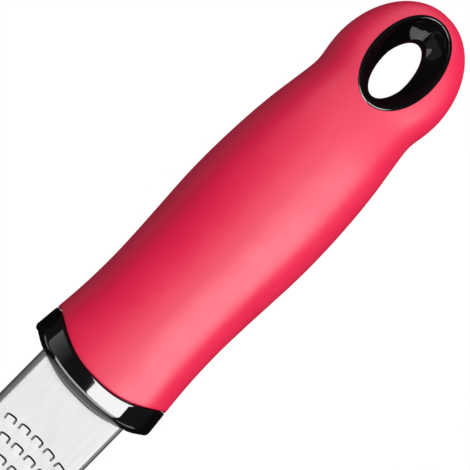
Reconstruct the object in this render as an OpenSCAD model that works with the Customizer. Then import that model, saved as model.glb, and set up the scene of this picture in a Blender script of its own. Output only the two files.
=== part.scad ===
// Hand-held rasp grater: a long etched steel blade in a soft-touch handle with a hanging eyelet.
// X runs from the blade's tip to the end of the handle, Y across it and Z up.
// The origin is under the middle of the whole length, level with the lowest point of the handle.

/* [Blade] */
// Length of blade that shows in front of the collar
blade_reach = 198; // [150:1:230]
// Width over the two folded flanges
blade_width = 25; // [24:0.5:26]
// Height of the folded flanges, deck included
flange_depth = 7; // [5:0.5:8]
// Thickness of the steel sheet
sheet = 0.5; // [0.4:0.05:0.6]
// Outside radius of the folds
fold_radius = 1.5; // [1:0.1:1.8]
// Height of the blade's top face above the lowest point of the handle
deck_height = 21.2; // [20.8:0.1:21.4]
// Radius of the blade's two tip corners
tip_radius = 5; // [2:0.5:8]

/* [Teeth] */
// Width of one tooth over its slit
tooth_width = 2.9; // [2.4:0.1:3.1]
// Length of one tooth over its slit
tooth_length = 1.65; // [1.4:0.05:1.9]
// Width of the etched slit round a tooth
slit = 0.5; // [0.3:0.02:0.56]
// Distance between teeth in a row
tooth_pitch = 3.94; // [3.6:0.02:4.4]
// Distance between rows
row_pitch = 4.35; // [4:0.05:5]
// Plain deck between the collar and the first row
plain_near_collar = 12.5; // [10:0.5:20]
// Plain deck between the last row and the tip
plain_near_tip = 9; // [7:0.5:20]
// How strongly a row is arched: drop in length per square of the distance from the middle
row_arch = 0.012; // [0:0.0005:0.02]

/* [Handle] */
// Length of collar and grip together
handle_length = 126; // [122:1:130]
// Width at the belly
belly_width = 34.3; // [33.5:0.1:36]
// Thickness of the soft grip over the core
grip_wall = 2.2; // [1.8:0.1:2.4]
// Width of the groove between collar and grip
groove = 0.3; // [0.2:0.05:0.5]
// Length of tang held inside the handle
tang_length = 70; // [40:1:78]
// Width of the tang
tang_width = 18; // [12:1:20]

/* [Eyelet] */
// Length of the eyelet's rim
eye_length = 28.1; // [26:0.1:28.3]
// Width of the eyelet's rim
eye_width = 17.2; // [16:0.1:17.6]
// Length of the hanging hole
hole_length = 17.6; // [16:0.1:18]
// Width of the hanging hole
hole_width = 8.4; // [7.5:0.1:9]
// Wall of the eyelet's tube
eye_wall = 1.2; // [1:0.1:1.4]

/* [Hidden] */
$fn = 64;

// Places along the handle are measured from the collar's foremost point, in a handle 126 long.
STRETCH = handle_length / 126;
COLLAR_FRONT = (blade_reach - handle_length) / 2;
BELLY_SHARE = belly_width / 34.3;

// Half width of the handle in plan at stations along it, up to the widest point of the end lobe
HALF_WIDTH = [[-3, 17.8], [4, 17.6], [9, 17.24], [17, 16.48], [24, 16.04], [32, 15.93], [40, 16.2],
    [48, 16.64], [56, 17.06], [63, 17.15], [70, 16.98], [77.5, 16.55], [84, 15.93], [90, 15.11],
    [94, 14.56], [96.5, 14.32], [98.6, 14.38], [101, 14.76], [103.4, 15.06], [105.6, 15.18], [108, 15.18]];
// Heights of the handle's top line, widest line and bottom line
TOP_LINE = [[-3, 24.8], [10, 25.2], [34, 25.6], [58, 26.8], [80, 25.6], [98, 22.7], [112, 20.2],
    [130, 18]];
SIDE_LINE = [[-3, 13.8], [60, 13.6], [98, 13.1], [130, 12.4]];
BOTTOM_LINE = [[-3, 3.4], [12, 2.4], [34, 0.9], [58, 0], [80, 1.2], [98, 3.9], [112, 5.6],
    [130, 6.4]];
LOBE_X = 105.6;
LOBE_REACH = 20.4;
LOBE_HALF_WIDTH = 15.18;
// Exponents of the section's upper and lower halves (2 is an ellipse)
TOP_POWER = 2.5;
BOTTOM_POWER = 2.4;
SECTION_POINTS = 48;

// The collar's rim and seam start on the top line and sweep back round the sides.
RIM_TOP_X = 1.25;
RIM_SWEEP = 6.9;
RIM_POWER = 3.6;
SEAM_TOP_X = 5.25;
SEAM_SWEEP = 8.7;
SEAM_POWER = 4.2;
LOW_SWEEP = 3;
// Reach of the rounded bevel in front of the rim, from the sides (0) to the top and bottom (1)
BEVEL_REACH = [[0, 1.15], [0.25, 1.5], [0.5, 1.8], [0.62, 1.85], [0.75, 1.7], [0.9, 1.35], [1, 1.25]];
// Drop of the bevel at the top and at the sides
BEVEL_TOP = 3.2;
BEVEL_SIDE = 1;
FRONT_WALL = 2.6;
PLANAR_X = 44;

FLAT_HALF = blade_width / 2 - fold_radius;
FLANGE_END_X = 12;
FOLD_SETBACK = tip_radius;
SLOT_GAP = 0.1;
TANG_HOLE_R = 3;
// Shift of each row, in tooth pitches, over four rows
ROW_SHIFTS = [-0.18, 0.33, -0.4, 0.1];
TOOTH_FIELD = 9.3;
TOOTH_CORNER = 0.5;
TOOTH_BULGE = 0.12;
ROWS = floor((blade_reach - plain_near_collar - plain_near_tip) / row_pitch);

EYE_X = 108.95 * STRETCH;
THROAT_X = 109.4 * STRETCH;
THROAT_Z = 11.5;
EYE_CREST = 0.3;
DISH_POWER = 0.6;
EYE_FLANGE = 1;
EYE_POINTS = 48;

// --- Smooth line through a table of [station, value] ---
function span_at(t, x, i = 0) = i >= len(t) - 2 || x < t[i + 1][0] ? i : span_at(t, x, i + 1);
function slope_at(t, i) =
    let (a = max(i - 1, 0), b = min(i + 1, len(t) - 1)) (t[b][1] - t[a][1]) / (t[b][0] - t[a][0]);
function value_at(t, x) =
    let (
        i = span_at(t, x),
        h = t[i + 1][0] - t[i][0],
        u = (x - t[i][0]) / h,
        m0 = slope_at(t, i) * h,
        m1 = slope_at(t, i + 1) * h,
        rise = t[i + 1][1] - t[i][1]
    ) t[i][1] + m0 * u + (3 * rise - 2 * m0 - m1) * u * u + (m0 + m1 - 2 * rise) * u * u * u;

// --- Section of the handle at x, shrunk by inset on every side ---
function lobe_share(x, inset) = min(1, max(0, (x / STRETCH - LOBE_X) / (LOBE_REACH - inset)));
function half_width(x, inset) =
    x / STRETCH <= LOBE_X
        ? value_at(HALF_WIDTH, x / STRETCH) * BELLY_SHARE - inset
        : (LOBE_HALF_WIDTH * BELLY_SHARE - inset) * sqrt(1 - pow(lobe_share(x, inset), 2));
function end_share(x, inset) = sqrt(1 - pow(lobe_share(x, inset), 3.5));
function side_z(x) = value_at(SIDE_LINE, x / STRETCH);
function upper_half(x, inset) =
    (value_at(TOP_LINE, x / STRETCH) - side_z(x) - inset) * end_share(x, inset);
function lower_half(x, inset) =
    (side_z(x) - value_at(BOTTOM_LINE, x / STRETCH) - inset) * end_share(x, inset);
function bent(v, p) = sign(v) * pow(abs(v), 2 / p);
function skin_point(x, a, inset = 0, drop = 0) =
    let (
        power = sin(a) >= 0 ? TOP_POWER : BOTTOM_POWER,
        half = sin(a) >= 0 ? upper_half(x, inset) - drop : lower_half(x, inset) - drop
    ) [x, half_width(x, inset) * bent(cos(a), power), side_z(x) + half * bent(sin(a), power)];
function crown(x, y, power) = pow(max(0, 1 - pow(abs(y) / half_width(x, 0), power)), 1 / power);
function top_z(x, y) = side_z(x) + upper_half(x, 0) * crown(x, y, TOP_POWER);
function bottom_z(x, y) = side_z(x) - lower_half(x, 0) * crown(x, y, BOTTOM_POWER);

// --- Stations of the collar's rim and seam at the angle a round the section ---
function swept(top_x, sweep, power, a) =
    top_x + sweep * (1 - pow((1 + sin(a)) / 2, power)) + LOW_SWEEP * max(0, -sin(a));
function rim_x(a) = swept(RIM_TOP_X, RIM_SWEEP, RIM_POWER, a);
function seam_x(a) = swept(SEAM_TOP_X, SEAM_SWEEP, SEAM_POWER, a);

ANGLES = [for (i = [0:SECTION_POINTS - 1]) 360 * i / SECTION_POINTS];

function ring_at(x, inset) = [for (a = ANGLES) skin_point(x, a, inset)];
// Ring part of the way from the seam to the first flat section
function eased_ring(share, inset) = [
    for (a = ANGLES) skin_point(seam_x(a) + (PLANAR_X * STRETCH - seam_x(a)) * share, a, inset)
];
function bevel_ring(turn) = [
    for (a = ANGLES)
        let (
            fall = 1 - cos(turn),
            drop = (BEVEL_TOP - BEVEL_SIDE) * pow(abs(sin(a)), 1.5),
            p = skin_point(rim_x(a), a, BEVEL_SIDE * fall, drop * fall)
        ) [p[0] - value_at(BEVEL_REACH, abs(sin(a))) * sin(turn), p[1], p[2]]
];

// Two triangles for the corners a, b, c and d in order round
function quad(a, b, c, d) = [[a, b, c], [a, c, d]];

// Solid through rings that have the same number of points, closed by a fan at each end
module loft(rings, start, end) {
    n = len(rings[0]);
    m = len(rings);
    points = concat([for (r = rings) each r], [start, end]);
    sides = [
        for (i = [0:m - 2], j = [0:n - 1])
            let (k = (j + 1) % n) each quad(i * n + j, (i + 1) * n + j, (i + 1) * n + k, i * n + k)
    ];
    fans = [
        for (j = [0:n - 1])
            let (k = (j + 1) % n) each [[m * n, j, k], [m * n + 1, (m - 1) * n + k, (m - 1) * n + j]]
    ];
    polyhedron(points = points, faces = concat(sides, fans), convexity = 6);
}

// Sections from the first flat one to the end of the lobe
function body_stations(inset) = concat(
    [for (x = [PLANAR_X:3.85:LOBE_X]) x * STRETCH],
    [for (t = [9:9:81]) (LOBE_X + (LOBE_REACH - inset) * sin(t)) * STRETCH],
    [(LOBE_X + (LOBE_REACH - inset) * sin(86)) * STRETCH]
);
function end_point(inset) = [(LOBE_X + LOBE_REACH - inset) * STRETCH, 0, side_z(handle_length)];

// Rings of the handle from the seam to the last station, inset from the outside
function handle_rings(inset) = concat(
    [for (s = [0:0.125:0.9]) eased_ring(s, inset)],
    [for (x = body_stations(inset)) ring_at(x, inset)]
);

// The grip as a shell: its outside from the seam to the end, and its inside back to the seam
module grip_form() {
    outside = handle_rings(0);
    inside = handle_rings(grip_wall);
    n = SECTION_POINTS;
    m = len(outside);
    ends = [end_point(0), end_point(grip_wall)];
    points = concat([for (r = outside) each r], [for (r = inside) each r], ends);
    inner = m * n;
    faces = [
        for (j = [0:n - 1])
            let (k = (j + 1) % n, last = (m - 1) * n)
            each concat(
                [for (i = [0:m - 2]) each quad(i * n + j, (i + 1) * n + j, (i + 1) * n + k, i * n + k)],
                [for (i = [0:m - 2])
                    each quad(inner + i * n + k, inner + (i + 1) * n + k, inner + (i + 1) * n + j,
                        inner + i * n + j)],
                [[2 * inner, last + k, last + j], [2 * inner + 1, inner + last + j, inner + last + k]],
                quad(j, k, inner + k, inner + j)
            )
    ];
    polyhedron(points = points, faces = faces, convexity = 6);
}

// Rigid body under the grip, from inside the collar to the end lobe
module core_form() {
    front = [for (a = ANGLES) skin_point(rim_x(a) + FRONT_WALL, a, grip_wall)];
    loft([front, each handle_rings(grip_wall)], [rim_x(0) + FRONT_WALL, 0, side_z(0)],
        end_point(grip_wall));
}

// --- Eyelet: ellipses round the hole, from the rim down to the foot ---
function oval(cx, length, width, z) = [
    for (i = [0:EYE_POINTS - 1])
        let (a = 360 * i / EYE_POINTS) [cx + length / 2 * cos(a), width / 2 * sin(a), z]
];
function rim_oval(shrink, rise) = [
    for (p = oval(EYE_X, eye_length - 2 * shrink, eye_width - 2 * shrink, 0))
        [p[0], p[1], top_z(p[0], p[1]) + rise]
];
function foot_oval(grow, rise) = [
    for (p = oval(THROAT_X, hole_length + 2 * grow, hole_width + 2 * grow, 0))
        [p[0], p[1], bottom_z(p[0], p[1]) + rise]
];
// Straight in plan and steepest at the rim, like a bowl
function dished(a, b, share) = [
    for (i = [0:len(a) - 1])
        let (p = a[i] + (b[i] - a[i]) * share)
        [p[0], p[1], a[i][2] + (b[i][2] - a[i][2]) * pow(share, DISH_POWER)]
];
THROAT = oval(THROAT_X, hole_length, hole_width, THROAT_Z);
TUBE_TOP = oval(THROAT_X, hole_length + 2 * eye_wall, hole_width + 2 * eye_wall, THROAT_Z - 1);
FOOT_FLANGE = eye_wall + EYE_FLANGE;
// Outside of the eyelet, from below its foot to above its rim
OUTSIDE = [foot_oval(FOOT_FLANGE, 0), foot_oval(FOOT_FLANGE, 1), foot_oval(eye_wall, 1.2), TUBE_TOP,
    rim_oval(0, -1)];

// Ring-shaped solid through closed loops: the last loop joins the first
module hoop(loops) {
    n = len(loops[0]);
    m = len(loops);
    faces = [
        for (i = [0:m - 1], j = [0:n - 1])
            let (k = (j + 1) % n, next = (i + 1) % m * n)
            each quad(i * n + j, next + j, next + k, i * n + k)
    ];
    polyhedron(points = [for (l = loops) each l], faces = faces, convexity = 6);
}

// Everything that the eyelet takes out of the grip and the core
module eyelet_form() {
    above = rim_oval(0, 3);
    below = foot_oval(FOOT_FLANGE, -3);
    lowest = [THROAT_X, 0, bottom_z(THROAT_X, 0) - 3];
    highest = [EYE_X, 0, top_z(EYE_X, 0) + 3];
    loft([below, each OUTSIDE, above], lowest, highest);
}

// --- Blade ---
function arc(cx, cy, r, a0, a1, steps) =
    [for (i = [0:steps]) let (a = a0 + (a1 - a0) * i / steps) [cx + r * cos(a), cy + r * sin(a)]];
function mirrored(points) = [for (i = [len(points) - 1:-1:0]) [points[i][0], -points[i][1]]];
// One tooth's slit: its bar crosses the blade on the handle side, and its legs point to the tip
SLIT_HALF = tooth_width / 2;
SLIT_OUTER = [[-tooth_length, SLIT_HALF],
    each arc(-TOOTH_CORNER, SLIT_HALF - TOOTH_CORNER, TOOTH_CORNER, 90, 0, 2), [TOOTH_BULGE, 0]];
SLIT_INNER = [[TOOTH_BULGE - slit, 0], [-slit, SLIT_HALF - slit - TOOTH_CORNER / 2],
    [-slit - TOOTH_CORNER / 2, SLIT_HALF - slit], [-tooth_length, SLIT_HALF - slit]];
SLIT = concat(
    [for (i = [0:len(SLIT_OUTER) - 2]) SLIT_OUTER[i]],
    mirrored(SLIT_OUTER),
    [for (i = [len(SLIT_INNER) - 1:-1:1]) [SLIT_INNER[i][0], -SLIT_INNER[i][1]]],
    SLIT_INNER
);
function row_x(row) = -plain_near_collar - row * row_pitch;
// [x, y, turn] of each tooth of one row
function row_teeth(row) = [
    for (k = [-3:3])
        let (y = (k + ROW_SHIFTS[row % 4]) * tooth_pitch)
        if (abs(y) <= TOOTH_FIELD)
            [row_x(row) - row_arch * y * y, y, atan(2 * row_arch * y)]
];
TEETH = [for (row = [0:ROWS - 1]) each row_teeth(row)];
function placed(p, t) =
    [t[0] + p[0] * cos(t[2]) - p[1] * sin(t[2]), t[1] + p[0] * sin(t[2]) + p[1] * cos(t[2])];

// Flat part of the blade, with a slit round every tooth
module deck() {
    tip = arc(tip_radius - blade_reach, FLAT_HALF - tip_radius, tip_radius, 90, 180, 6);
    edge = concat([[FLANGE_END_X, FLAT_HALF]], tip);
    linear_extrude(sheet) difference() {
        polygon(concat(edge, mirrored(edge)));
        for (t = TEETH) polygon([for (p = SLIT) placed(p, t)]);
    }
}

// Fold and flange along the +Y side, from start to the end inside the handle
module folded_side(start) {
    flange_drop = flange_depth - fold_radius;
    translate([start, FLAT_HALF, sheet - fold_radius]) rotate([90, 0, 90])
        linear_extrude(FLANGE_END_X - start) intersection() {
            difference() {
                circle(r = fold_radius);
                circle(r = fold_radius - sheet);
            }
            square(fold_radius);
        }
    translate([0, blade_width / 2, sheet - fold_radius]) rotate([90, 0, 0]) linear_extrude(sheet)
        polygon([[start, 0], [start, -1], [start + flange_drop - 1, -flange_drop],
            [FLANGE_END_X, -flange_drop], [FLANGE_END_X, 0]]);
}

module tang() {
    linear_extrude(sheet) difference() {
        translate([FLANGE_END_X, -tang_width / 2]) square([tang_length - FLANGE_END_X, tang_width]);
        for (share = [0.35, 0.85])
            translate([FLANGE_END_X + (tang_length - FLANGE_END_X) * share, 0]) circle(r = TANG_HOLE_R);
    }
}

module folded_sides(start) {
    folded_side(start);
    mirror([0, 1, 0]) folded_side(start);
}

// The part of the blade that lies inside the core
module blade_root() {
    translate([0, 0, deck_height - sheet]) {
        translate([0, -FLAT_HALF, 0]) cube([FLANGE_END_X, 2 * FLAT_HALF, sheet]);
        tang();
        folded_sides(0);
    }
}

module in_frame() {
    translate([COLLAR_FRONT, 0, 0]) children();
}

// Slot in the collar for the folded sheet, with a round relief inside each fold
module blade_slot() {
    reach = FLANGE_END_X + 8;
    outer_half = blade_width / 2 + SLOT_GAP;
    top = deck_height + SLOT_GAP;
    translate([-2, 0, 0]) rotate([90, 0, 90]) linear_extrude(reach) {
        translate([-outer_half, top - sheet - 2 * SLOT_GAP]) square([2 * outer_half, sheet + 2 * SLOT_GAP]);
        for (side = [-1, 1])
            translate([side * (outer_half - sheet / 2 - SLOT_GAP) - sheet / 2 - SLOT_GAP,
                deck_height - flange_depth - SLOT_GAP])
                square([sheet + 2 * SLOT_GAP, flange_depth + 2 * SLOT_GAP]);
        for (side = [-1, 1])
            translate([side * (blade_width / 2 - fold_radius / 3), deck_height - 0.55 * fold_radius])
                circle(r = 0.62 * fold_radius);
    }
}

module blade() {
    color("silver") in_frame() translate([0, 0, deck_height - sheet]) {
        deck();
        tang();
        folded_sides(FOLD_SETBACK - blade_reach);
    }
}

module handle_core() {
    color("dimgray") in_frame() difference() {
        core_form();
        blade_root();
        eyelet_form();
    }
}

module collar() {
    rings = concat(
        [for (t = [90:-22.5:0]) bevel_ring(t)],
        [for (s = [0.5, 1]) [for (i = [0:SECTION_POINTS - 1])
            skin_point(rim_x(ANGLES[i]) + (seam_x(ANGLES[i]) - groove - rim_x(ANGLES[i])) * s, ANGLES[i])]]
    );
    color("black") in_frame() difference() {
        loft(rings, [rim_x(0) - BEVEL_REACH[0][1], 0, side_z(0)], [seam_x(0) - groove, 0, side_z(0)]);
        core_form();
        blade_slot();
    }
}

module grip() {
    color("crimson") in_frame() difference() {
        grip_form();
        eyelet_form();
    }
}

module eyelet() {
    outside = concat(OUTSIDE, [rim_oval(0, -0.05), rim_oval(0.35, EYE_CREST)]);
    dish = [for (s = [0, 0.06, 0.16, 0.32, 0.52, 0.75]) dished(rim_oval(0.9, 0.05), THROAT, s)];
    foot = [THROAT, foot_oval(0.1, 0.2), foot_oval(0.5, -0.1)];
    color("black") in_frame() hoop(concat(outside, dish, foot));
}

blade();
handle_core();
collar();
grip();
eyelet();
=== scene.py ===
"""Looks of the hand-held rasp grater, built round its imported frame.

Lengths are in millimetres until a mesh is made, and stations along the tool start at the collar's foremost
point. Lights, floor and bump distances are in metres.
"""

import math

import bmesh
import bpy
import numpy as np
from mathutils import Matrix, Vector
from mathutils.geometry import delaunay_2d_cdt


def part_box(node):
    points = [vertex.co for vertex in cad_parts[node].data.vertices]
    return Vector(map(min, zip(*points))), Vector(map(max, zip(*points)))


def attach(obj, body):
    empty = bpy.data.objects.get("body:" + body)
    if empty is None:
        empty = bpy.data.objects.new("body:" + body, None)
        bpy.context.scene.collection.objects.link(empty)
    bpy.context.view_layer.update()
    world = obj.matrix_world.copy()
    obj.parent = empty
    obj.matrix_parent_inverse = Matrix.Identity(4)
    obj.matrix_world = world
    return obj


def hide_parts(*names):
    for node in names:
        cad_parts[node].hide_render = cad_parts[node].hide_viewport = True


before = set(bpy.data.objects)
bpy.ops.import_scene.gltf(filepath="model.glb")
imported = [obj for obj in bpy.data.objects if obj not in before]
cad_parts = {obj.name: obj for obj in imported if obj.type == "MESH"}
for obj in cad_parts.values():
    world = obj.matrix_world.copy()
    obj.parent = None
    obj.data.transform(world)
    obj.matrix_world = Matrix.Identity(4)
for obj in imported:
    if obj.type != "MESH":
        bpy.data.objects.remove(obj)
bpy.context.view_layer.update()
MM = 0.001
QUARTER_TURN = math.pi / 2

# --- Places taken from the frame ---
blade_lo, blade_hi = (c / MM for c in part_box("blade"))
FRONT = (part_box("collar")[0] / MM).x  # the collar's foremost point
TIP_X = blade_lo.x - FRONT
DECK_Z = blade_hi.z
BLADE_HALF = blade_hi.y
FLANGE_BOTTOM = blade_lo.z

# --- Handle form: half width in plan, and the heights of its top, widest and bottom lines ---
HALF_WIDTH = [
    (-3, 17.8), (4, 17.6), (9, 17.24), (17, 16.48), (24, 16.04), (32, 15.93), (40, 16.2),
    (48, 16.64), (56, 17.06), (63, 17.15), (70, 16.98), (77.5, 16.55), (84, 15.93), (90, 15.11),
    (94, 14.56), (96.5, 14.32), (98.6, 14.38), (101, 14.76), (103.4, 15.06), (105.6, 15.18), (108, 15.18),
]
TOP_LINE = [(-3, 24.8), (10, 25.2), (34, 25.6), (58, 26.8), (80, 25.6), (98, 22.7), (112, 20.2), (130, 18)]
SIDE_LINE = [(-3, 13.8), (60, 13.6), (98, 13.1), (130, 12.4)]
BOTTOM_LINE = [(-3, 3.4), (12, 2.4), (34, 0.9), (58, 0), (80, 1.2), (98, 3.9), (112, 5.6), (130, 6.4)]
# The round lobe at the end: where it starts, its length, its half width and how full it is from the side
LOBE_X, LOBE_REACH, LOBE_HALF_WIDTH, LOBE_POWER = 105.6, 20.4, 15.18, 3.5
END_X = LOBE_X + LOBE_REACH
# Exponents of the section's upper and lower halves (2 is an ellipse)
TOP_POWER, BOTTOM_POWER = 2.5, 2.4
# Rim and seam of the collar: station on the top line, sweep back to the sides and power of the sweep
RIM = (1.25, 6.9, 3.6)
SEAM = (5.25, 8.7, 4.2)
LOW_SWEEP = 3  # further sweep of both under the handle
GROOVE = 0.3  # gap between collar and grip
PLANAR_X = 44  # rings are flat from here to the end
GRIP_WALL = 2.2

# --- Blade sheet ---
SHEET = 0.5
FOLD_RADIUS = 1.5  # outside radius
FLAT_HALF = BLADE_HALF - FOLD_RADIUS
BEND_Z = DECK_Z - FOLD_RADIUS  # height at which a fold has become an upright flange


def line(table):
    """Smooth line through (station, value) pairs, as a function of arrays."""
    x, v = np.array(table, float).T
    i = np.arange(len(x))
    lo, hi = np.maximum(i - 1, 0), np.minimum(i + 1, len(x) - 1)
    slope = (v[hi] - v[lo]) / (x[hi] - x[lo])

    def at(q):
        k = np.clip(np.searchsorted(x, q, side="right") - 1, 0, len(x) - 2)
        h = x[k + 1] - x[k]
        u = (q - x[k]) / h
        m0, m1, rise = slope[k] * h, slope[k + 1] * h, v[k + 1] - v[k]
        return v[k] + m0 * u + (3 * rise - 2 * m0 - m1) * u**2 + (m0 + m1 - 2 * rise) * u**3

    return at


width_line, top_line, side_line, bottom_line = map(line, (HALF_WIDTH, TOP_LINE, SIDE_LINE, BOTTOM_LINE))


def lobe_share(x, inset):
    return np.clip((x - LOBE_X) / (LOBE_REACH - inset), 0, 1)


def half_width(x, inset):
    lobe = (LOBE_HALF_WIDTH - inset) * np.sqrt(1 - lobe_share(x, inset) ** 2)
    return np.where(x <= LOBE_X, width_line(x) - inset, lobe)


def end_share(x, inset):
    return np.sqrt(1 - lobe_share(x, inset) ** LOBE_POWER)


def upper_half(x, inset):
    return (top_line(x) - side_line(x) - inset) * end_share(x, inset)


def lower_half(x, inset):
    return (side_line(x) - bottom_line(x) - inset) * end_share(x, inset)


def skin(x, a, inset=0.0, drop=0.0):
    """Points of the handle's skin at stations x and angles a round the section."""
    x, a, inset = np.broadcast_arrays(np.asarray(x, float), a, inset)
    up = np.sin(a) >= 0
    power = np.where(up, TOP_POWER, BOTTOM_POWER)
    half = np.where(up, upper_half(x, inset), lower_half(x, inset)) - drop
    y = half_width(x, inset) * np.sign(np.cos(a)) * np.abs(np.cos(a)) ** (2 / power)
    z = side_line(x) + half * np.sign(np.sin(a)) * np.abs(np.sin(a)) ** (2 / power)
    return np.stack([x, y, z], -1)


def crown(x, y, power):
    return np.maximum(0, 1 - (np.abs(y) / half_width(x, 0.0)) ** power) ** (1 / power)


def top_z(x, y):
    return side_line(x) + upper_half(x, 0.0) * crown(x, y, TOP_POWER)


def bottom_z(x, y):
    return side_line(x) - lower_half(x, 0.0) * crown(x, y, BOTTOM_POWER)


def swept(shape, a):
    """Station of the rim or seam at the angle a: foremost on the top line, sweeping back round the sides."""
    top_x, sweep, power = shape
    return top_x + sweep * (1 - ((1 + np.sin(a)) / 2) ** power) + LOW_SWEEP * np.maximum(0, -np.sin(a))


AROUND = 160
ANGLES = np.arange(AROUND) * 2 * math.pi / AROUND
RIM_X = swept(RIM, ANGLES)
SEAM_X = swept(SEAM, ANGLES)

# --- Mesh helpers ---
MERGE_METRES = 1e-7
SHARP_ANGLE = math.radians(32)
DECK_SHARP_ANGLE = math.radians(40)


def make_object(name, verts, faces, sharp=SHARP_ANGLE):
    """Object from points in millimetres measured from the collar's front."""
    mesh = bpy.data.meshes.new(name)
    mesh.from_pydata([((v[0] + FRONT) * MM, v[1] * MM, v[2] * MM) for v in verts], [], faces)
    bm = bmesh.new()
    bm.from_mesh(mesh)
    bmesh.ops.remove_doubles(bm, verts=bm.verts, dist=MERGE_METRES)
    bmesh.ops.recalc_face_normals(bm, faces=bm.faces)
    if bm.calc_volume(signed=True) < 0:
        bmesh.ops.reverse_faces(bm, faces=bm.faces)
    bm.to_mesh(mesh)
    bm.free()
    obj = bpy.data.objects.new(name, mesh)
    bpy.context.scene.collection.objects.link(obj)
    smooth(obj, sharp)
    return obj


def smooth(obj, sharp):
    obj.data.polygons.foreach_set("use_smooth", [True] * len(obj.data.polygons))
    obj.data.set_sharp_from_angle(angle=sharp)
    obj.data.update()


def belt(n, first, second):
    """Faces between two closed rings of n points whose points start at the indices first and second."""
    return [(first + j, second + j, second + (j + 1) % n, first + (j + 1) % n) for j in range(n)]


def loft_data(rings, start, end):
    """Vertices and faces of a solid through equal rings, closed by a fan at each end."""
    n, m = len(rings[0]), len(rings)
    verts = [tuple(p) for ring in rings for p in ring] + [tuple(start), tuple(end)]
    faces = [face for i in range(m - 1) for face in belt(n, i * n, (i + 1) * n)]
    for j in range(n):
        k = (j + 1) % n
        faces.append((m * n, j, k))
        faces.append((m * n + 1, (m - 1) * n + k, (m - 1) * n + j))
    return verts, faces


def hoop_data(loops):
    """Vertices and faces of a ring-shaped solid: the last loop joins the first."""
    n, m = len(loops[0]), len(loops)
    verts = [tuple(p) for loop in loops for p in loop]
    return verts, [face for i in range(m) for face in belt(n, i * n, (i + 1) % m * n)]


def prism_data(outline, x0, x1):
    """Solid with the same (y, z) outline from x0 to x1."""
    n = len(outline)
    verts = [(x, y, z) for x in (x0, x1) for y, z in outline]
    faces = [tuple(range(n)), tuple(range(2 * n - 1, n - 1, -1))]
    faces += [(i, (i + 1) % n, n + (i + 1) % n, n + i) for i in range(n)]
    return verts, faces


def cut(obj, cutter):
    """Takes cutter out of obj, for good, and removes cutter."""
    mod = obj.modifiers.new("cut", "BOOLEAN")
    mod.operation = "DIFFERENCE"
    mod.solver = "EXACT"
    mod.object = cutter
    bpy.context.view_layer.update()
    graph = bpy.context.evaluated_depsgraph_get()
    mesh = bpy.data.meshes.new_from_object(obj.evaluated_get(graph))
    obj.modifiers.clear()
    old = obj.data
    obj.data = mesh
    mesh.name = obj.name
    bpy.data.meshes.remove(old)
    bpy.data.meshes.remove(cutter.data)
    smooth(obj, SHARP_ANGLE)


# --- Eyelet: ellipses round the hole, from the foot up to the rim and back down the dish ---
EYE_X, EYE_LENGTH, EYE_WIDTH = 108.95, 28.1, 17.2
THROAT_X, HOLE_LENGTH, HOLE_WIDTH = 109.4, 17.6, 8.4
THROAT_Z = 11.5
EYE_WALL = 1.2
TUBE_TOP_Z = THROAT_Z - 1
# Flange at the foot: its reach from the hole, and its heights at its edge and at the tube
FOOT_FLANGE, FLANGE_EDGE, FLANGE_TOP = 2.2, 1, 1.2
# Lower edge of the hole: its radius, its height over the skin, and how far the underside reaches from it
FOOT_LIP, FOOT_BASE, FOOT_REACH = 0.45, -0.05, 1.9
RIM_SEAT = -1  # height over the skin where the rim's upright edge starts
# Rounded crest of the rim: its width, its height, and the height of its foot over the skin
RIM_WIDTH, RIM_CREST, CREST_BASE = 0.9, 0.3, -0.03
# Dish: height of its upper edge over the skin, how bowl-shaped it is, and its loops from rim to throat
DISH_START, DISH_POWER = 0.02, 0.6
DISH_FIRST, DISH_LAST, DISH_LOOPS, DISH_CROWDING = 0.06, 0.99, 26, 1.6
CUTTER_OVERSHOOT = 3
EYE_AROUND = 144
EYE_ANGLES = np.arange(EYE_AROUND) * 2 * math.pi / EYE_AROUND


def oval(cx, length, width, z):
    x = cx + length / 2 * np.cos(EYE_ANGLES)
    y = width / 2 * np.sin(EYE_ANGLES)
    return np.stack([x, y, np.full_like(x, z)], -1)


def rim_oval(shrink, rise):
    """Loop that follows the skin's top, drawn in from the rim by shrink."""
    p = oval(EYE_X, EYE_LENGTH - 2 * shrink, EYE_WIDTH - 2 * shrink, 0)
    p[:, 2] = top_z(p[:, 0], p[:, 1]) + rise
    return p


def foot_oval(grow, rise):
    """Loop that follows the skin's underside, wider than the hole by grow."""
    p = oval(THROAT_X, HOLE_LENGTH + 2 * grow, HOLE_WIDTH + 2 * grow, 0)
    p[:, 2] = bottom_z(p[:, 0], p[:, 1]) + rise
    return p


throat = oval(THROAT_X, HOLE_LENGTH, HOLE_WIDTH, THROAT_Z)
eye_outside = [
    foot_oval(FOOT_FLANGE, 0),
    foot_oval(FOOT_FLANGE, FLANGE_EDGE),
    foot_oval(EYE_WALL, FLANGE_TOP),
    oval(THROAT_X, HOLE_LENGTH + 2 * EYE_WALL, HOLE_WIDTH + 2 * EYE_WALL, TUBE_TOP_Z),
    rim_oval(0, RIM_SEAT),
]


def crest_loop(turn):
    """Loop on the rim's rounded crest, from its outer edge (0) to its inner edge (half a turn)."""
    return rim_oval(RIM_WIDTH * (1 - math.cos(turn)) / 2, RIM_CREST * math.sin(turn) + CREST_BASE)


def dish_loop(share):
    """Loop on the dish between the rim's inner edge and the throat."""
    top = rim_oval(RIM_WIDTH, DISH_START)
    p = top + (throat - top) * share
    p[:, 2] = top[:, 2] + (throat[:, 2] - top[:, 2]) * share**DISH_POWER
    return p


def foot_loop(turn):
    """Loop on the hole's rounded lower edge, from the hole (0) to the foot (a quarter turn)."""
    return foot_oval(FOOT_LIP * (1 - math.cos(turn)), FOOT_LIP * (1 - math.sin(turn)) + FOOT_BASE)


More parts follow.
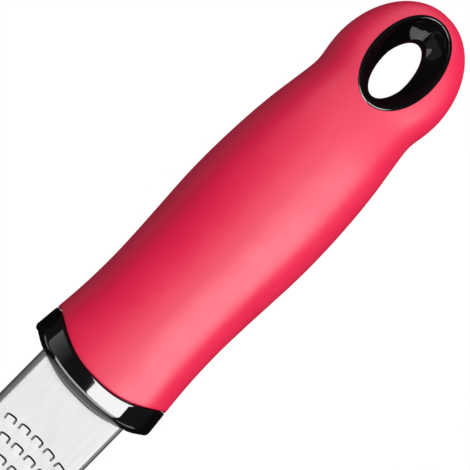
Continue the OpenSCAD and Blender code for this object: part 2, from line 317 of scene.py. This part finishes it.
def eyelet_data():
    crest = [crest_loop(t) for t in np.linspace(0, math.pi, 9)]
    dish = [dish_loop(s**DISH_CROWDING) for s in np.linspace(DISH_FIRST, DISH_LAST, DISH_LOOPS)]
    foot = [foot_loop(t) for t in np.linspace(0, QUARTER_TURN, 5)] + [foot_oval(FOOT_REACH, FOOT_BASE)]
    return hoop_data(eye_outside + crest + dish + [throat] + foot)


def eyelet_cutter():
    above = rim_oval(0, CUTTER_OVERSHOOT)
    below = foot_oval(FOOT_FLANGE, -CUTTER_OVERSHOOT)
    low = (THROAT_X, 0, float(bottom_z(THROAT_X, 0.0)) - CUTTER_OVERSHOOT)
    high = (EYE_X, 0, float(top_z(EYE_X, 0.0)) + CUTTER_OVERSHOOT)
    return make_object("cutter", *loft_data([below] + eye_outside + [above], low, high))


eyelet = make_object("eyelet_ring", *eyelet_data())

# --- Grip: one skin that goes in over the seam's rounded lip and back along the inside ---
LIP = 0.4  # radius of the grip's front edge
LIP_FOOT = 1.2  # inset of the ring half way across the front face


def body_rings(inset, along, planar_step, lobe_steps):
    """Rings of the handle from the seam to the end, inset from its skin."""
    start = SEAM_X + (LIP if inset == 0 else 0)
    shares = np.linspace(0, 1, along, endpoint=False)
    rings = [skin(start + (PLANAR_X - start) * s, ANGLES, inset) for s in shares]
    rings += [skin(x, ANGLES, inset) for x in np.arange(PLANAR_X, LOBE_X, planar_step)]
    turns = np.linspace(0, QUARTER_TURN, lobe_steps, endpoint=False)
    rings += [skin(LOBE_X + (LOBE_REACH - inset) * math.sin(t), ANGLES, inset) for t in turns]
    return rings


def end_point(inset):
    return (END_X - inset, 0, float(side_line(END_X)))


def grip_data():
    lining = body_rings(GRIP_WALL, along=8, planar_step=4, lobe_steps=10)[::-1]
    turns = np.linspace(0, QUARTER_TURN, 6)[:-1]
    lip = [skin(SEAM_X + LIP * (1 - math.cos(t)), ANGLES, LIP * (1 - math.sin(t))) for t in turns]
    outside = body_rings(0.0, along=34, planar_step=1.0, lobe_steps=44)
    rings = lining + [skin(SEAM_X, ANGLES, LIP_FOOT)] + lip + outside
    return loft_data(rings, end_point(GRIP_WALL), end_point(0))


grip = make_object("soft_grip", *grip_data())
cut(grip, eyelet_cutter())

# --- Collar: concave front, rounded bevel, band with eased edges ---
# Reach of the bevel in front of the rim, from the sides (0) to the top and bottom (1)
BEVEL_REACH = [(0, 1.15), (0.25, 1.5), (0.5, 1.8), (0.62, 1.85), (0.75, 1.7), (0.9, 1.35), (1, 1.25)]
BEVEL_TOP, BEVEL_SIDE, BEVEL_POWER = 3.2, 1, 1.5  # drop at the top and at the sides, and the change between
MOUTH_X = 9.0  # the widest line's height here is the height of the collar's axis
EDGE = 0.22  # radius of the band's back edge
EDGE_TURNS = (0.5, 1.05, QUARTER_TURN)
FACE_SHARES = (0.15, 0.35, 0.55, 0.75, 0.9)  # rings of the front face, from its middle outwards
BACK_DEPTHS = (1.2, 2.6, 5)  # rings of the back face, as insets from the skin


def bevel(turn):
    """Ring of the bevel, from the rim (0) to the front edge (a quarter turn)."""
    fall = 1 - math.cos(turn)
    drop = (BEVEL_TOP - BEVEL_SIDE) * np.abs(np.sin(ANGLES)) ** BEVEL_POWER
    p = skin(RIM_X, ANGLES, BEVEL_SIDE * fall, drop * fall)
    p[:, 0] -= line(BEVEL_REACH)(np.abs(np.sin(ANGLES))) * math.sin(turn)
    return p


def back_edge_ring(turn):
    """Ring of the rounded edge between the band (0) and the back face (a quarter turn)."""
    back = SEAM_X - GROOVE - EDGE * (1 - math.sin(turn))
    return skin(back, ANGLES, EDGE * (1 - math.cos(turn)))


def collar_data():
    axis_z = float(side_line(MOUTH_X))
    front_pole = np.array([float(swept(RIM, 0.0)) - BEVEL_REACH[0][1], 0, axis_z])
    front_face = [front_pole + (bevel(QUARTER_TURN) - front_pole) * s for s in FACE_SHARES]
    bevels = [bevel(t) for t in np.linspace(QUARTER_TURN, 0, 12)]
    back_x = SEAM_X - GROOVE
    band = [skin(RIM_X + (back_x - EDGE - RIM_X) * s, ANGLES) for s in np.linspace(0, 1, 10)[1:]]
    back_edge = [back_edge_ring(t) for t in EDGE_TURNS]
    back_face = [skin(back_x, ANGLES, depth) for depth in BACK_DEPTHS]
    back_pole = (float(swept(SEAM, 0.0)) - GROOVE, 0, axis_z)
    return loft_data(front_face + bevels + band + back_edge + back_face, front_pole, back_pole)


SLOT_GAP = 0.12
SLOT_FRONT, SLOT_BACK = -3, 19
# Round relief inside a fold: its radius, and its centre's distance from the blade's side and top
RELIEF_RADIUS = 0.62 * FOLD_RADIUS
RELIEF_INSET, RELIEF_DROP = FOLD_RADIUS / 3, 0.55 * FOLD_RADIUS


def slot_outline():
    """The folded sheet's slot with a round relief inside each fold, as (y, z)."""
    cy, cz = BLADE_HALF - RELIEF_INSET, DECK_Z - RELIEF_DROP
    outer, inner = BLADE_HALF + SLOT_GAP, BLADE_HALF - SHEET - SLOT_GAP
    top, under = DECK_Z + SLOT_GAP, DECK_Z - SHEET - SLOT_GAP
    bottom = FLANGE_BOTTOM - SLOT_GAP
    side_drop = math.sqrt(RELIEF_RADIUS**2 - (inner - cy) ** 2)
    deck_reach = math.sqrt(RELIEF_RADIUS**2 - (under - cz) ** 2)
    first_turn = math.atan2(-side_drop, inner - cy) + 2 * math.pi
    turns = np.linspace(first_turn, math.atan2(under - cz, -deck_reach), 9)
    half = [(outer, top), (outer, bottom), (inner, bottom)]
    half += [(cy + RELIEF_RADIUS * math.cos(t), cz + RELIEF_RADIUS * math.sin(t)) for t in turns]
    return half + [(-y, z) for y, z in reversed(half)]


collar = make_object("front_collar", *collar_data())
cut(collar, make_object("cutter", *prism_data(slot_outline(), SLOT_FRONT, SLOT_BACK)))

# --- Blade: slitted deck with raised teeth, and two folded sides ---
DECK_EDGE = FLAT_HALF - 0.3  # the folds' pieces take over from the deck just before the bend
TIP_RADIUS = 5
TIP_ARC = (84, 180)  # in degrees
EDGE_STEP = 12  # distance between points along the deck's sides
ROOT_X = 12  # inside the handle: the deck and folds end, and the tang goes on
TANG_HALF, TANG_END_X = 9, 70
# A tooth over its slit, and the slit's width
TOOTH_WIDTH, TOOTH_LENGTH, SLIT = 2.9, 1.65, 0.5
HALF_TOOTH = TOOTH_WIDTH / 2
# Rows: spacing of teeth and rows, and the plain deck before the first and after the last
TOOTH_PITCH, ROW_PITCH, FIRST_ROW, LAST_GAP = 3.94, 4.35, 12.5, 9
ROW_ARCH = 0.012  # drop in length per square of the distance from the middle
ROW_SHIFTS = (-0.18, 0.33, -0.4, 0.1)  # in tooth pitches, repeated every four rows
TEETH_ASIDE = 3
TOOTH_FIELD = 9.3  # no tooth's middle is further out
# Slit: radii of its outer and smallest inner corners, how far its bar bows out, and places across the bow
CORNER, INNER_CORNER, BULGE = 0.55, 0.12, 0.1
BOW_PLACES = (-0.75, -0.4, 0, 0.4, 0.75)
SLIT_DRAFT = 0.22  # the slit's walls close in by this much on each side, from the top to the underside
# Tongue: height of its cutting edge, how late it rises, and where the rise starts before the slit's ends
TOOTH_LIFT, LIFT_POWER, ROOT_SLOPE = 0.25, 1.8, 1.4
TONGUE_GAP_ALONG, TONGUE_GAP_ACROSS = 0.18, 0.12  # inner points keep this far from the slit
MERGE_MM = 1e-6


def arc(cx, cy, r, a0, a1, steps):
    """Points on a circle from a0 to a1 degrees."""
    turns = [math.radians(a0 + (a1 - a0) * i / steps) for i in range(steps + 1)]
    return [(cx + r * math.cos(t), cy + r * math.sin(t)) for t in turns]


def slit_outline(shrink):
    """One tooth's slit, anticlockwise and drawn in by shrink on every side, and how many points are outer.

    Its bar is towards the handle and its legs point to the tip.
    """
    half = HALF_TOOTH - shrink
    corner = CORNER - shrink
    width = SLIT - 2 * shrink
    leg_end = -TOOTH_LENGTH + shrink
    bow = [(-shrink + BULGE * (1 - (v / HALF_TOOTH) ** 2), v) for v in BOW_PLACES]
    outer = [(leg_end, -half)] + arc(-corner - shrink, -half + corner, corner, -90, 0, 4) + bow
    outer += arc(-corner - shrink, half - corner, corner, 0, 90, 4) + [(leg_end, half)]
    corner_in = max(corner - width, INNER_CORNER)
    half_in = half - width
    corner_x = -shrink - width - corner_in
    inner = [(leg_end, half_in)] + arc(corner_x, half_in - corner_in, corner_in, 90, 0, 3)
    inner += [(x - width, v) for x, v in reversed(bow)]
    inner += arc(corner_x, -half_in + corner_in, corner_in, 0, -90, 3) + [(leg_end, -half_in)]
    return np.array(outer + inner), len(outer)


def teeth():
    """(x, y, turn) of every tooth."""
    found = []
    rows = int((-TIP_X - FIRST_ROW - LAST_GAP) // ROW_PITCH)
    for row in range(rows):
        for k in range(-TEETH_ASIDE, TEETH_ASIDE + 1):
            y = (k + ROW_SHIFTS[row % len(ROW_SHIFTS)]) * TOOTH_PITCH
            if abs(y) <= TOOTH_FIELD:
                x = -FIRST_ROW - row * ROW_PITCH - ROW_ARCH * y * y
                found.append((x, y, math.atan(2 * ROW_ARCH * y)))
    return found


TEETH = teeth()


def placed(local, tooth):
    """Points from one tooth's own plan, turned and moved to its place on the deck."""
    x, y, turn = tooth
    u, v = local.T
    c, s = math.cos(turn), math.sin(turn)
    return [Vector(p) for p in np.stack([x + u * c - v * s, y + u * s + v * c], -1)]


def lift(local, inner_half):
    """Height of the sheet round one tooth: the tongue rises towards its cutting edge."""
    u, v = local[:, 0], np.abs(local[:, 1])
    t = np.clip((u + TOOTH_LENGTH + ROOT_SLOPE) / (TOOTH_LENGTH + ROOT_SLOPE - SLIT), 0, 1)
    across = np.clip((HALF_TOOTH - v) / (HALF_TOOTH - inner_half), 0, 1)
    return TOOTH_LIFT * t**LIFT_POWER * across


def deck_outline():
    stations = range(0, int(TIP_X) + TIP_RADIUS + 1, -EDGE_STEP)
    edge = [(ROOT_X, DECK_EDGE)] + [(x, DECK_EDGE) for x in stations]
    edge += arc(TIP_X + TIP_RADIUS, FLAT_HALF - TIP_RADIUS, TIP_RADIUS, *TIP_ARC, 10)
    edge = [(x, min(y, DECK_EDGE)) for x, y in edge]
    return edge + [(x, -y) for x, y in reversed(edge)]


def ring_edges(start, n):
    """Edges of a closed outline of n points, the first of which has the index start."""
    return [(start + i, start + (i + 1) % n) for i in range(n)]


def inside(p, loop):
    """Whether the point p lies in the closed loop."""
    hit = False
    for (x1, y1), (x2, y2) in zip(loop, np.roll(loop, -1, 0)):
        if (y1 > p[1]) != (y2 > p[1]) and p[0] < (x2 - x1) * (p[1] - y1) / (y2 - y1) + x1:
            hit = not hit
    return hit


def tongue_filling(inner_half):
    """Points spread over one tooth's tongue, clear of its slit."""
    along_tongue = np.linspace(-TOOTH_LENGTH - ROOT_SLOPE, -SLIT - TONGUE_GAP_ALONG, 9)
    across_tongue = np.linspace(-1, 1, 5) * (inner_half - TONGUE_GAP_ACROSS)
    return np.array([(u, v) for u in along_tongue for v in across_tongue])


def deck_side(shrink, z):
    """Vertices, faces, slit loops and outer rim of the deck's top or underside."""
    outline = deck_outline()
    slit, n_outer = slit_outline(shrink)
    inner_half = HALF_TOOTH - SLIT + shrink
    filling = tongue_filling(inner_half)
    slit_heights = lift(slit, inner_half)
    slit_heights[:n_outer] = 0
    tooth_heights = [*slit_heights, *lift(filling, inner_half)]

    points = [Vector(p) for p in outline]
    edges = ring_edges(0, len(outline))
    heights = [0.0] * len(outline)
    starts = []
    for tooth in TEETH:
        starts.append(len(points))
        edges += ring_edges(len(points), len(slit))
        points += placed(slit, tooth) + placed(filling, tooth)
        heights += tooth_heights
    out_points, _, out_faces, sources, _, _ = delaunay_2d_cdt(points, edges, [], 1, MERGE_MM)

    index_of = {source: i for i, found in enumerate(sources) for source in found}
    raised = np.zeros(len(out_points))
    for source, i in index_of.items():
        raised[i] = heights[source]
    verts = [(p.x, p.y, z + h) for p, h in zip(out_points, raised)]
    loops = [[index_of[start + i] for i in range(len(slit))] for start in starts]
    rim = [index_of[i] for i in range(len(outline))]

    slit_of = {i: k for k, loop in enumerate(loops) for i in loop}
    slit_place = {i: j for loop in loops for j, i in enumerate(loop)}
    faces = []
    for face in out_faces:
        slits = {slit_of.get(i) for i in face}
        in_one_slit = len(slits) == 1 and None not in slits
        if in_one_slit and inside(slit[[slit_place[i] for i in face]].mean(0), slit):
            continue
        faces.append(tuple(face))
    return verts, faces, loops, rim


def deck_data():
    """Vertices and faces of the deck, and the index of its first wall face."""
    top_v, top_f, top_loops, top_rim = deck_side(0, DECK_Z)
    low_v, low_f, low_loops, low_rim = deck_side(SLIT_DRAFT, DECK_Z - SHEET)
    base = len(top_v)
    faces = top_f + [tuple(i + base for i in reversed(face)) for face in low_f]
    first_wall = len(faces)
    for above, below in zip(top_loops + [top_rim], low_loops + [low_rim]):
        for i in range(len(above)):
            j = (i + 1) % len(above)
            faces.append((above[i], above[j], below[j] + base, below[i] + base))
    return top_v + low_v, faces, first_wall


CUT_EDGE = 0.1  # easing of the flange's cut edge
FLANGE_SHARES = (0.35, 0.7)
TIP_DEPTH = 1  # depth of the flange at its tip end
SLOPE_SHARES = (0, 0.25, 0.5, 0.75, 1)
AFTER_SLOPE = 8  # distance from the end of the slope to the next section


def bend_arc(radius, turns):
    return [(FLAT_HALF + radius * math.sin(t), BEND_Z + radius * math.cos(t)) for t in turns]


def fold_profile(depth):
    """Section of one folded side, seen along the blade: (distance out from the middle, height)."""
    low = BEND_Z - depth
    inner_y = BLADE_HALF - SHEET
    section = [(DECK_EDGE, DECK_Z)] + bend_arc(FOLD_RADIUS, np.linspace(0, QUARTER_TURN, 13))
    section += [(BLADE_HALF, BEND_Z - depth * s) for s in FLANGE_SHARES]
    section += [(BLADE_HALF, low + CUT_EDGE), (BLADE_HALF - CUT_EDGE, low)]
    section += [(inner_y + CUT_EDGE, low), (inner_y, low + CUT_EDGE)]
    section += [(inner_y, BEND_Z - depth * s) for s in reversed(FLANGE_SHARES)]
    section += bend_arc(FOLD_RADIUS - SHEET, np.linspace(QUARTER_TURN, 0, 9))
    return section + [(DECK_EDGE, DECK_Z - SHEET)]


def fold_data(side):
    """One folded side: its flange deepens evenly from the tip's end, then runs on into the handle."""
    full = BEND_Z - FLANGE_BOTTOM
    start = TIP_X + TIP_RADIUS
    slope = full - TIP_DEPTH
    stations = [(start + slope * s, TIP_DEPTH + slope * s) for s in SLOPE_SHARES]
    stations += [(x, full) for x in np.linspace(start + full + AFTER_SLOPE, ROOT_X, 16)]
    sections = [[(x, side * y, z) for y, z in fold_profile(depth)] for x, depth in stations]
    n, m = len(sections[0]), len(sections)
    faces = [face for i in range(m - 1) for face in belt(n, i * n, (i + 1) * n)]
    faces += [tuple(range(n)), tuple(range((m - 1) * n, m * n))]
    return [p for section in sections for p in section], faces


def tang_data():
    low = DECK_Z - SHEET
    outline = [(-TANG_HALF, low), (TANG_HALF, low), (TANG_HALF, DECK_Z), (-TANG_HALF, DECK_Z)]
    return prism_data(outline, ROOT_X, TANG_END_X)


deck_verts, deck_faces, first_wall = deck_data()
deck = make_object("blade_deck", deck_verts, deck_faces, DECK_SHARP_ANGLE)
folds = [make_object("blade_fold_" + name, *fold_data(side)) for name, side in (("left", 1), ("right", -1))]
tang = make_object("blade_tang", *tang_data())

# --- Materials ---
NOISE_LOW, NOISE_HIGH = 0.3, 0.7  # most of a noise lies between these


def material(name, color, roughness, metallic=0.0, **sockets):
    mat = bpy.data.materials.new(name)
    mat.use_nodes = True
    shader = mat.node_tree.nodes["Principled BSDF"]
    shader.inputs["Base Color"].default_value = (*color, 1)
    shader.inputs["Roughness"].default_value = roughness
    shader.inputs["Metallic"].default_value = metallic
    for key, value in sockets.items():
        shader.inputs[key.replace("_", " ")].default_value = value
    return mat, shader


def noise(mat, scale, detail, stretch=(1, 1, 1)):
    nodes, links = mat.node_tree.nodes, mat.node_tree.links
    coords = nodes.new("ShaderNodeTexCoord")
    mapping = nodes.new("ShaderNodeMapping")
    mapping.inputs["Scale"].default_value = stretch
    tex = nodes.new("ShaderNodeTexNoise")
    tex.inputs["Scale"].default_value = scale
    tex.inputs["Detail"].default_value = detail
    links.new(coords.outputs["Object"], mapping.inputs["Vector"])
    links.new(mapping.outputs["Vector"], tex.inputs["Vector"])
    return tex.outputs["Fac"]


def spread(mat, source, low, high):
    """Maps a noise onto the range low..high."""
    node = mat.node_tree.nodes.new("ShaderNodeMapRange")
    node.inputs["From Min"].default_value = NOISE_LOW
    node.inputs["From Max"].default_value = NOISE_HIGH
    node.inputs["To Min"].default_value = low
    node.inputs["To Max"].default_value = high
    mat.node_tree.links.new(source, node.inputs["Value"])
    return node.outputs["Result"]


def tint(mat, source, low, high):
    """Colour between low and high, mixed by a noise."""
    node = mat.node_tree.nodes.new("ShaderNodeMix")
    node.data_type = "RGBA"
    node.inputs["A"].default_value = (*low, 1)
    node.inputs["B"].default_value = (*high, 1)
    mat.node_tree.links.new(source, node.inputs["Factor"])
    return node.outputs["Result"]


def bump(mat, source, strength, distance):
    node = mat.node_tree.nodes.new("ShaderNodeBump")
    node.inputs["Strength"].default_value = strength
    node.inputs["Distance"].default_value = distance
    mat.node_tree.links.new(source, node.inputs["Height"])
    return node.outputs["Normal"]


def finish(mat, shader, color, roughness, normal):
    """Joins the three patterns of a material to its shader."""
    for key, output in (("Base Color", color), ("Roughness", roughness), ("Normal", normal)):
        mat.node_tree.links.new(output, shader.inputs[key])
    return mat


def steel_material():
    """Rolled sheet, its grain drawn out along the blade."""
    mat, shader = material("etched_steel", (0.56, 0.56, 0.57), 0.2, 1.0)
    grain = noise(mat, 900, 3, (0.12, 1, 1))
    color = tint(mat, noise(mat, 60, 3), (0.53, 0.535, 0.54), (0.59, 0.59, 0.595))
    return finish(mat, shader, color, spread(mat, grain, 0.28, 0.34), bump(mat, grain, 0.03, 0.00004))


def slit_shade_material():
    """Painted shade: rough, near-black walls in the slits, standing in for the dark seen down through them.
    """
    mat, shader = material("slit_wall_painted_shade", (0.01, 0.01, 0.01), 0.7)
    pits = noise(mat, 2500, 4)
    color = tint(mat, pits, (0.004, 0.004, 0.004), (0.012, 0.012, 0.012))
    return finish(mat, shader, color, spread(mat, pits, 0.5, 0.75), bump(mat, pits, 0.3, 0.00005))


def gloss_black_material():
    mat, shader = material("gloss_black_plastic", (0.002, 0.002, 0.0025), 0.03, IOR=1.8)
    haze = noise(mat, 140, 4)
    color = tint(mat, haze, (0.001, 0.001, 0.0012), (0.003, 0.003, 0.0035))
    relief = bump(mat, noise(mat, 500, 2), 0.01, 0.00003)
    return finish(mat, shader, color, spread(mat, haze, 0.02, 0.045), relief)


def soft_grip_material():
    """Matt rubber with a fine texture."""
    mat, shader = material("soft_touch_red", (0.66, 0.01, 0.045), 0.4, Specular_IOR_Level=0.62)
    color = tint(mat, noise(mat, 70, 3), (0.62, 0.006, 0.05), (0.68, 0.009, 0.063))
    roughness = spread(mat, noise(mat, 180, 4), 0.36, 0.43)
    return finish(mat, shader, color, roughness, bump(mat, noise(mat, 2200, 3), 0.12, 0.00004))


def core_material():
    mat, shader = material("core_plastic", (0.05, 0.05, 0.05), 0.5)
    cloud = noise(mat, 120, 4)
    color = tint(mat, cloud, (0.03, 0.03, 0.03), (0.06, 0.06, 0.06))
    relief = bump(mat, noise(mat, 1500, 3), 0.15, 0.00005)
    return finish(mat, shader, color, spread(mat, cloud, 0.45, 0.6), relief)


LEVEL_NORMAL = 0.9  # a face whose normal is more upright than this is no wall
RIM_MARGIN = 0.05


def is_slit_wall(poly):
    """Whether a face of the deck stands in a slit, and not along the deck's outer rim."""
    in_field = abs(poly.center.y) < (DECK_EDGE - RIM_MARGIN) * MM
    return poly.index >= first_wall and abs(poly.normal.z) < LEVEL_NORMAL and in_field


steel = steel_material()
slit_shade = slit_shade_material()
black = gloss_black_material()
red = soft_grip_material()
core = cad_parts["handle_core"]
core.data.materials.clear()
core.data.materials.append(core_material())

# --- What each piece is: object, the CAD node it replaces, material slot, materials ---
PIECES = (
    (deck, "blade", "steel", (steel, slit_shade)),
    (folds[0], "blade", "steel", (steel,)),
    (folds[1], "blade", "steel", (steel,)),
    (tang, "blade", "steel", (steel,)),
    (collar, "collar", "black_plastic", (black,)),
    (eyelet, "eyelet", "black_plastic", (black,)),
    (grip, "grip", "soft_grip", (red,)),
)
for obj, node, slot, mats in PIECES:
    obj.data.materials.clear()
    for mat in mats:
        obj.data.materials.append(mat)
    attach(obj, "root")
    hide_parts(node)
# Wall faces in the slits take the second material, the near-black painted shade
for poly in deck.data.polygons:
    if is_slit_wall(poly):
        poly.material_index = 1

# --- Camera: a long lens, tilted from overhead towards the blade's tip ---
TILT_TO_TIP = math.radians(16)
TILT_TO_LEFT = math.radians(2.4)
IMAGE_ANGLE = math.radians(45.45)  # turn of the tool in the picture
VIEW_WIDTH = 103.638  # what the picture takes in, across and up
ANCHOR_Y, ANCHOR_Z = 0.28, 22  # a point at the collar's front, which the framing is measured from
ANCHOR_LEFT, ANCHOR_BELOW = 34.994, 35.458  # its distance from the picture's middle
LENS, SENSOR = 600, 36
CLIP_METRES = 50
to_camera = Vector((
    -math.sin(TILT_TO_TIP),
    math.sin(TILT_TO_LEFT) * math.cos(TILT_TO_TIP),
    math.cos(TILT_TO_LEFT) * math.cos(TILT_TO_TIP),
)).normalized()


def facing(way):
    """X axis of the frame, made square to way, and the direction across both."""
    along = (Vector((1, 0, 0)) - way * way.x).normalized()
    return along, way.cross(along)


def axes(x_axis, y_axis, z_axis):
    return Matrix((x_axis, y_axis, z_axis)).transposed().to_4x4()


along, across = facing(to_camera)
right = along * math.cos(IMAGE_ANGLE) - across * math.sin(IMAGE_ANGLE)
up = along * math.sin(IMAGE_ANGLE) + across * math.cos(IMAGE_ANGLE)
target = Vector((FRONT, ANCHOR_Y, ANCHOR_Z)) + right * ANCHOR_LEFT + up * ANCHOR_BELOW
camera_place = (target + to_camera * (VIEW_WIDTH * LENS / SENSOR)) * MM
camera_data = bpy.data.cameras.new("camera")
camera_data.lens = LENS
camera_data.sensor_width = SENSOR
camera_data.clip_end = CLIP_METRES
camera = bpy.data.objects.new("camera", camera_data)
bpy.context.scene.collection.objects.link(camera)
camera.matrix_world = Matrix.Translation(camera_place) @ axes(right, up, to_camera)
bpy.context.scene.camera = camera

# --- Floor and light ---
FLOOR_HALF = 3.0
HANDLE_MIDDLE = Vector((0.08, 0, 0.02))
BOUNCE_HEIGHT = 0.0001
AMBIENT = 0.03


def plain_floor():
    """Pale floor that glows evenly, so that it stays plain under any light."""
    mesh = bpy.data.meshes.new("floor")
    s = FLOOR_HALF
    mesh.from_pydata([(-s, -s, 0), (s, -s, 0), (s, s, 0), (-s, s, 0)], [], [(0, 1, 2, 3)])
    obj = bpy.data.objects.new("floor", mesh)
    bpy.context.scene.collection.objects.link(obj)
    mat, shader = material("pale_floor", (0.1, 0.1, 0.1), 0.9)
    shader.inputs["Emission Color"].default_value = (1, 1, 1, 1)
    shader.inputs["Emission Strength"].default_value = 1
    mesh.materials.append(mat)
    return obj


def group(name, members):
    found = bpy.data.collections.new(name)
    for obj in members:
        found.objects.link(obj)
    return found


def toward(x, y, z):
    return Vector((x, y, z)).normalized()


def overhead(to_x, to_y):
    """Direction that leans from straight up by to_x degrees towards +X and to_y towards +Y."""
    return toward(math.tan(math.radians(to_x)), math.tan(math.radians(to_y)), 1)


def fade_across(light, start, end):
    """Shares the light's radiance out from one long side to the other."""
    light.use_nodes = True
    nodes, links = light.node_tree.nodes, light.node_tree.links
    place = nodes.new("ShaderNodeNewGeometry")
    parts = nodes.new("ShaderNodeSeparateXYZ")
    ramp = nodes.new("ShaderNodeMapRange")
    ramp.inputs["To Min"].default_value = start
    ramp.inputs["To Max"].default_value = end
    links.new(place.outputs["Parametric"], parts.inputs["Vector"])
    links.new(parts.outputs["Y"], ramp.inputs["Value"])
    links.new(ramp.outputs["Result"], nodes["Emission"].inputs["Strength"])


def softbox(name, way, size, radiance, lit, fade=None):
    """Area light one metre from the handle along way, facing it and lighting the group lit.

    size is along X and across it, and fade is the pair that fade_across takes.
    """
    light = bpy.data.lights.new(name, "AREA")
    light.shape = "RECTANGLE"
    light.size, light.size_y = size
    light.energy = radiance * math.pi * size[0] * size[1]
    if fade is not None:
        fade_across(light, *fade)
    obj = bpy.data.objects.new(name, light)
    bpy.context.scene.collection.objects.link(obj)
    obj.matrix_world = Matrix.Translation(HANDLE_MIDDLE + way) @ axes(*facing(way), way)
    obj.visible_camera = False
    obj.light_linking.receiver_collection = lit
    return obj


floor = plain_floor()
steel_parts = group("lit_steel", [deck, *folds, tang])
gloss_parts = group("lit_gloss", [collar, eyelet])
eyelet_parts = group("lit_eyelet", [eyelet])
collar_parts = group("lit_collar", [collar])
grip_parts = group("lit_grip", [grip, core])
# The floor's glow is kept to the core, which is hidden. A group with nothing in it would light everything.
floor.light_linking.receiver_collection = group("lit_hidden", [core])

# Collar and eyelet: one bright window, and a faint sheen that fades out towards one side
softbox("key", overhead(14, -19.85), (0.42, 0.598), 11, gloss_parts)
softbox("fill", overhead(5, 39), (0.5, 0.78), 0.8, gloss_parts, fade=(0, 1))

# Collar: glints along its rim and bevel, and its two sides
softbox("rim_light", overhead(-18, 0), (0.3, 1.6), 7, collar_parts)
softbox("bevel_light", overhead(-50, 0), (1.0, 1.6), 3, collar_parts)
softbox("collar_left", toward(-0.3, 1, 0.15), (0.8, 0.25), 1, collar_parts)
softbox("collar_right", toward(-0.5, -1, 0.15), (0.8, 0.3), 1.5, collar_parts)

# Eyelet: the two halves of its dish, and its side
softbox("dish_left", overhead(-30, 26), (1.05, 0.88), 8, eyelet_parts)
softbox("dish_right", overhead(-30, -25), (1.05, 0.92), 0.8, eyelet_parts)
softbox("eyelet_side", toward(-0.35, -0.92, 0.1), (0.5, 0.35), 1.8, eyelet_parts)

# Grip: one broad highlight, and a little light on either end
softbox("grip_key", overhead(14, -35), (0.8, 1.0), 5.8, grip_parts)
softbox("grip_back", toward(1, 0.2, 0.6), (1.0, 1.0), 1.4, grip_parts)
softbox("grip_front", toward(-1, 0.2, 0.6), (1.0, 1.0), 1.4, grip_parts)

# Blade: an even sheen over the deck, and its sides and front
softbox("steel_top", overhead(-5, -19), (1.6, 1.15), 1.7, steel_parts)
softbox("steel_left", overhead(0, 50), (1.6, 1.0), 0.35, steel_parts, fade=(1, 0.3))
softbox("steel_side", toward(0, 1, 0.12), (1.6, 0.4), 0.3, steel_parts)
softbox("steel_front", toward(-1, 0, 0.35), (0.8, 1.4), 1.5, steel_parts)
softbox("steel_right", toward(0, -1, 0.2), (1.6, 0.5), 0.5, steel_parts)

# What a real floor would throw back: lights that lie on it and face up
for name, radiance, lit in (("grip_bounce", 0.9, grip_parts), ("steel_bounce", 0.1, steel_parts)):
    bounce = softbox(name, toward(0, 0, 1), (1.2, 0.8), radiance, lit)
    bounce.matrix_world = Matrix.Translation((0, 0, BOUNCE_HEIGHT)) @ Matrix.Rotation(math.pi, 4, "X")
    bounce.visible_glossy = lit is steel_parts

world = bpy.data.worlds.new("studio")
bpy.context.scene.world = world
world.use_nodes = True
background = world.node_tree.nodes["Background"]
background.inputs["Color"].default_value = (1, 1, 1, 1)
background.inputs["Strength"].default_value = AMBIENT
bpy.context.scene.view_settings.view_transform = "Standard"
